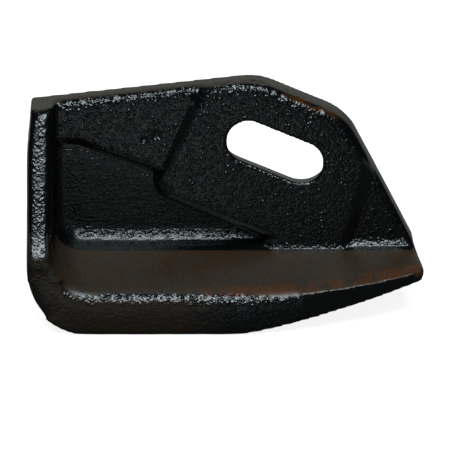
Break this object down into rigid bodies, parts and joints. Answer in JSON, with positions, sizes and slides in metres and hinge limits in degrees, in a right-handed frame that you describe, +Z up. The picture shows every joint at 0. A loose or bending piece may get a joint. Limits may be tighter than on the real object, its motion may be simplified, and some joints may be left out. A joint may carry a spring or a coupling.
{
  "type": "excavator bucket tooth",
  "caption": "Cast bolt-on wear tooth: a mounting plate with an oblique bolt slot above a deep ledge that tapers to a nose, closed by a rim at the heel.",
  "frame": {"origin": "centre of the bottom of the bounding box, so the tooth stands on its sole at Z = 0", "axes": "+X from the heel to the nose, along the longest side; +Y out of the back mounting face; +Z up, away from the sole"},
  "size_m": [0.21, 0.061, 0.1241],
  "materials": {
    "painted_casting": "glossy black paint over a rough as-cast skin, dusty brown and rusting on the upward faces"
  },
  "bodies": {
    "root": {"tooth_casting": "painted_casting"}
  },
  "joints": []
}
